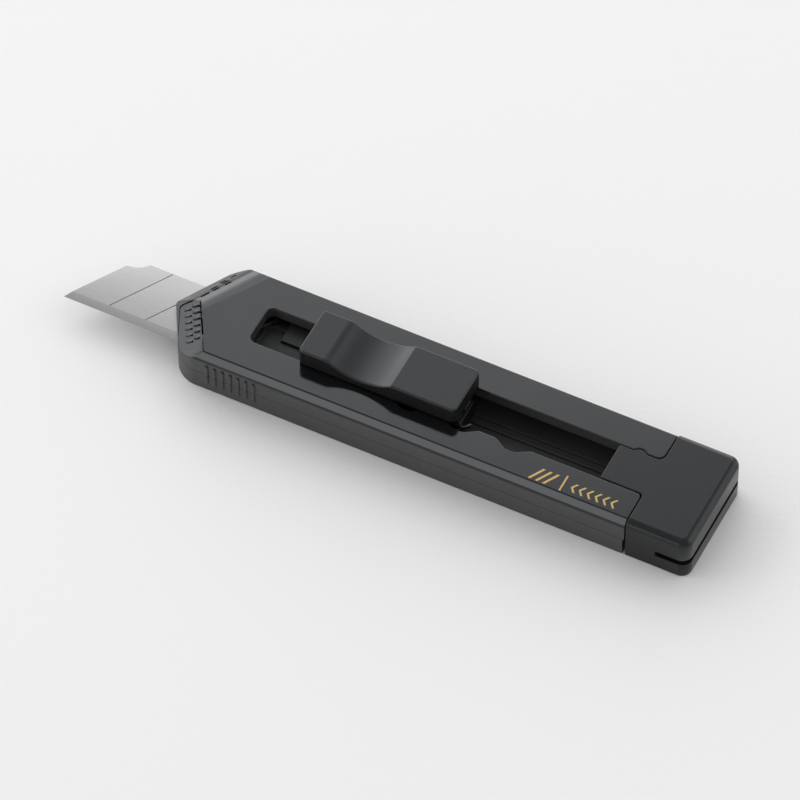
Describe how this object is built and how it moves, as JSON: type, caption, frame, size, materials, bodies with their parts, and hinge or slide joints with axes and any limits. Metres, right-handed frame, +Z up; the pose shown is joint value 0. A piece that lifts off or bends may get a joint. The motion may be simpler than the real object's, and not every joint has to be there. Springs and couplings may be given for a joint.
{
  "type": "snap-off utility knife",
  "caption": "Compact snap-off utility knife with a sliding thumb pad, a scored steel blade and a pull-off tail cap that snaps spent segments.",
  "frame": {"origin": "on the flat underside that the knife lies on, on the centreline, halfway along the plastic body", "axes": "+X from the nose to the tail cap, so the blade points to -X; +Z up from the underside to the thumb slider; the cutting edge is on the -Y side"},
  "size_m": [0.0859, 0.0158, 0.0089],
  "materials": {
    "gloss_housing": "moulded black plastic, polished top",
    "satin_housing": "moulded black plastic, satin",
    "satin_cap": "moulded black plastic, satin",
    "matt_slider": "moulded black plastic, fine matt texture",
    "holder_plastic": "moulded black plastic, as moulded",
    "spring_steel": "rolled spring steel strip",
    "blade_steel": "ground tool steel, fine polished flats",
    "gold_ink": "gold ink printed on the housing"
  },
  "bodies": {
    "housing": {"upper_housing": "gloss_housing", "lower_housing": "satin_housing"},
    "slider": {"thumb_slider": "matt_slider", "blade_holder": "holder_plastic", "blade": "blade_steel", "detent_spring": "spring_steel"},
    "cap": {"tail_cap": "satin_cap"}
  },
  "joints": [
    {"name": "blade_travel", "type": "slide", "parent": "housing", "child": "slider", "axis": [1, 0, 0], "range_m": [-0.007, 0.0175]},
    {"name": "cap_pull", "type": "slide", "parent": "housing", "child": "cap", "axis": [1, 0, 0], "range_m": [0, 0.016]}
  ]
}
